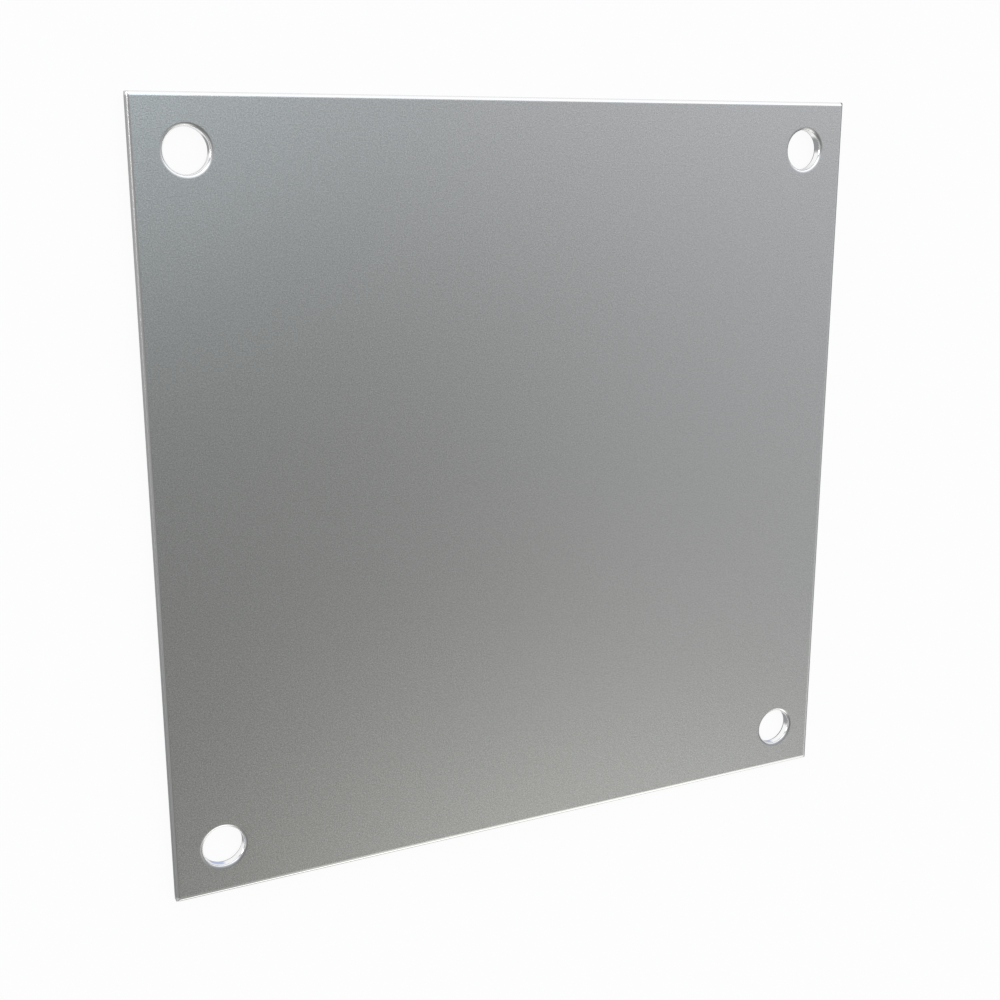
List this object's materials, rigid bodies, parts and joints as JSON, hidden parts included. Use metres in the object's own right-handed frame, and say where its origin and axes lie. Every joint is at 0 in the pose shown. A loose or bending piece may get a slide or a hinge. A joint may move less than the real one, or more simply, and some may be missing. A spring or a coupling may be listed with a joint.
{
  "type": "enclosure panel",
  "caption": "Flat square back panel of sheet metal for a small equipment enclosure, with a plain round screw hole near each corner and eased edges.",
  "frame": {"origin": "centre of the back face, which the panel lies on", "axes": "+Z out of the front face, +X to the panel's right and +Y to its top, seen from the front"},
  "size_m": [0.1238, 0.1238, 0.002],
  "materials": {
    "sheet": "fine-grained satin face, smoother and brighter on the eased edges and in the holes"
  },
  "bodies": {
    "root": {"panel": "sheet"}
  },
  "joints": []
}
